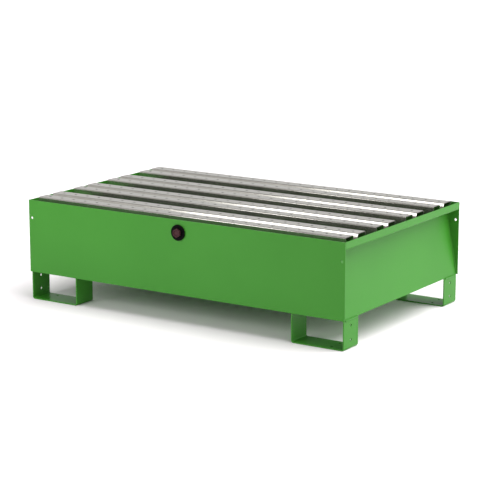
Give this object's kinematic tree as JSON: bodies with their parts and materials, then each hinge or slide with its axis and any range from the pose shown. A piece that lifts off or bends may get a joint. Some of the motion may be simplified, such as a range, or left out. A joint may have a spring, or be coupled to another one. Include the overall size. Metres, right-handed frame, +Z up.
{
  "type": "spill containment pallet",
  "caption": "Low sheet-steel sump on four U-shaped feet, covered by loose punched planks, with a screw plug in its front panel.",
  "frame": {"origin": "on the floor, under the middle of the whole outline, plug included", "axes": "+X along the pallet's width to its right-hand end, -Y out of the front panel with the plug, +Z up"},
  "size_m": [1.25, 0.7796, 0.3548],
  "materials": {
    "green_paint": "satin powder coat",
    "galvanised_steel": "dull galvanised",
    "black_plastic": "satin moulded",
    "brown_plastic": "satin moulded",
    "black_rubber": "matt"
  },
  "bodies": {
    "tank": {"front_panel": "green_paint", "rear_panel": "green_paint", "side_wall_left": "green_paint", "side_wall_right": "green_paint", "floor_plate": "green_paint", "foot_front_left": "green_paint", "foot_front_right": "green_paint", "foot_rear_left": "green_paint", "foot_rear_right": "green_paint", "plank_lug_left_1": "green_paint", "plank_lug_left_2": "green_paint", "plank_lug_left_3": "green_paint", "plank_lug_left_4": "green_paint", "plank_lug_right_1": "green_paint", "plank_lug_right_2": "green_paint", "plank_lug_right_3": "green_paint", "plank_lug_right_4": "green_paint", "port_bush": "black_plastic", "port_gasket": "black_rubber", "port_lock_nut": "black_plastic"},
    "plank_1": {"deck_plank_1": "galvanised_steel"},
    "plank_2": {"deck_plank_2": "galvanised_steel"},
    "plank_3": {"deck_plank_3": "galvanised_steel"},
    "plank_4": {"deck_plank_4": "galvanised_steel"},
    "seal_ring": {"plug_o_ring": "black_rubber"},
    "plug": {"port_plug": "brown_plastic"}
  },
  "joints": [
    {"name": "plank_1_lift", "type": "slide", "parent": "tank", "child": "plank_1", "axis": [0, 0, 1], "range_m": [0, 0.15]},
    {"name": "plank_2_lift", "type": "slide", "parent": "tank", "child": "plank_2", "axis": [0, 0, 1], "range_m": [0, 0.15]},
    {"name": "plank_3_lift", "type": "slide", "parent": "tank", "child": "plank_3", "axis": [0, 0, 1], "range_m": [0, 0.15]},
    {"name": "plank_4_lift", "type": "slide", "parent": "tank", "child": "plank_4", "axis": [0, 0, 1], "range_m": [0, 0.15]},
    {"name": "plug_out", "type": "slide", "parent": "tank", "child": "seal_ring", "axis": [0, -1, 0], "range_m": [0, 0.018]},
    {"name": "plug_turn", "type": "hinge", "parent": "seal_ring", "child": "plug", "pos_m": [0, -0.37525, 0.306], "axis": [0, -1, 0], "range_deg": [0, 1620]}
  ],
  "couplings": [
    {"joint": "plug_turn", "follows": "plug_out", "rad_per_m": 1570.8}
  ]
}
